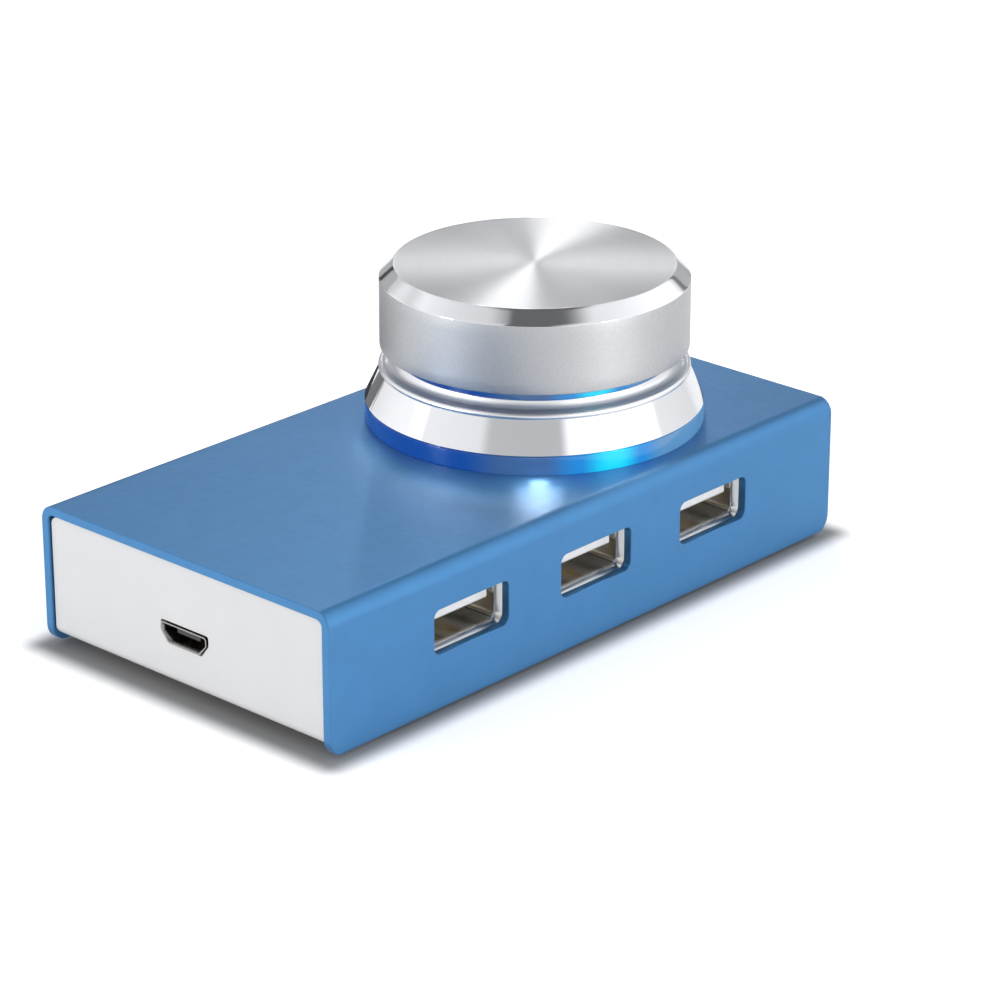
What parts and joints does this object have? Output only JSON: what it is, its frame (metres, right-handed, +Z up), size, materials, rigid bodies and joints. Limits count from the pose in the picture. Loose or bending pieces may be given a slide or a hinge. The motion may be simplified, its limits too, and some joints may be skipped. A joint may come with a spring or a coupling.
{
  "type": "usb volume control knob",
  "caption": "Low metal housing with sockets along one side, a small inlet in the end plate and a large lit push-and-turn volume knob on top.",
  "frame": {"origin": "on the table under the middle of the housing, level with the undersides of the feet", "axes": "+X from the inlet end to the plain end, -Y the side with the large sockets, +Z up along the knob axis"},
  "size_m": [0.0944, 0.05, 0.0401],
  "materials": {
    "blue_anodised": "satin blue anodised",
    "white_paint": "smooth matt white paint",
    "zinc_screws": "zinc plated",
    "foot_rubber": "matt dark grey",
    "circuit_board": "green solder mask",
    "chip_black": "moulded black",
    "tinned_leads": "bright tin",
    "bare_aluminium": "turned, uncoated",
    "nickel_steel": "bright nickel plate",
    "white_plastic": "moulded white",
    "black_plastic": "moulded black",
    "gold_contacts": "gold flash",
    "rotor_plastic": "natural acetal",
    "lit_guide": "clear blue, lit from inside",
    "polished_trim": "polished aluminium",
    "lamp_lens": "clear lens, blue light",
    "knob_aluminium": "spun top, bright chamfer, blasted side"
  },
  "bodies": {
    "housing": {"housing_cover": "blue_anodised", "chassis_tray": "white_paint", "base_screws": "zinc_screws", "rubber_feet": "foot_rubber", "pcb_standoffs": "zinc_screws", "board_screws": "zinc_screws", "main_board": "circuit_board", "hub_chip": "chip_black", "control_chip": "chip_black", "chip_leads": "tinned_leads", "crystal_can": "tinned_leads", "capacitors": "bare_aluminium", "chip_resistors": "chip_black", "port_shell_1": "nickel_steel", "port_shell_2": "nickel_steel", "port_shell_3": "nickel_steel", "port_tongue_1": "white_plastic", "port_tongue_2": "white_plastic", "port_tongue_3": "white_plastic", "port_contacts": "gold_contacts", "inlet_shell": "nickel_steel", "inlet_tongue": "black_plastic", "inlet_contacts": "gold_contacts", "encoder_board": "circuit_board", "header_strip": "black_plastic", "header_pins": "gold_contacts", "encoder_pins": "tinned_leads", "encoder_body": "black_plastic", "encoder_clip": "zinc_screws", "encoder_bushing": "bare_aluminium", "encoder_washer": "nickel_steel", "encoder_nut": "nickel_steel", "detent_spring": "nickel_steel", "contact_wipers": "gold_contacts", "switch_dome": "nickel_steel", "light_guide": "lit_guide", "trim_ring": "polished_trim", "trim_screws": "zinc_screws", "lamp_board": "circuit_board", "lamps": "lamp_lens", "lamp_pins": "gold_contacts"},
    "press": {"switch_plunger": "rotor_plastic"},
    "knob": {"encoder_shaft": "bare_aluminium", "knob_cap": "knob_aluminium", "knob_insert": "black_plastic"},
    "rotor": {"encoder_rotor": "rotor_plastic"}
  },
  "joints": [
    {"name": "knob_press", "type": "slide", "parent": "housing", "child": "press", "axis": [0, 0, -1], "range_m": [0, 0.0005], "stiffness_N_per_m": 8000, "springref_m": -0.0001, "deforming": ["switch_dome"]},
    {"name": "knob_turn", "type": "hinge", "parent": "press", "child": "knob", "pos_m": [0.017, 0.0008, 0.03], "axis": [0, 0, 1], "continuous": true},
    {"name": "rotor_turn", "type": "hinge", "parent": "housing", "child": "rotor", "pos_m": [0.017, 0.0008, 0.01535], "axis": [0, 0, 1], "continuous": true}
  ],
  "couplings": [
    {"joint": "rotor_turn", "follows": "knob_turn", "ratio": 1}
  ]
}
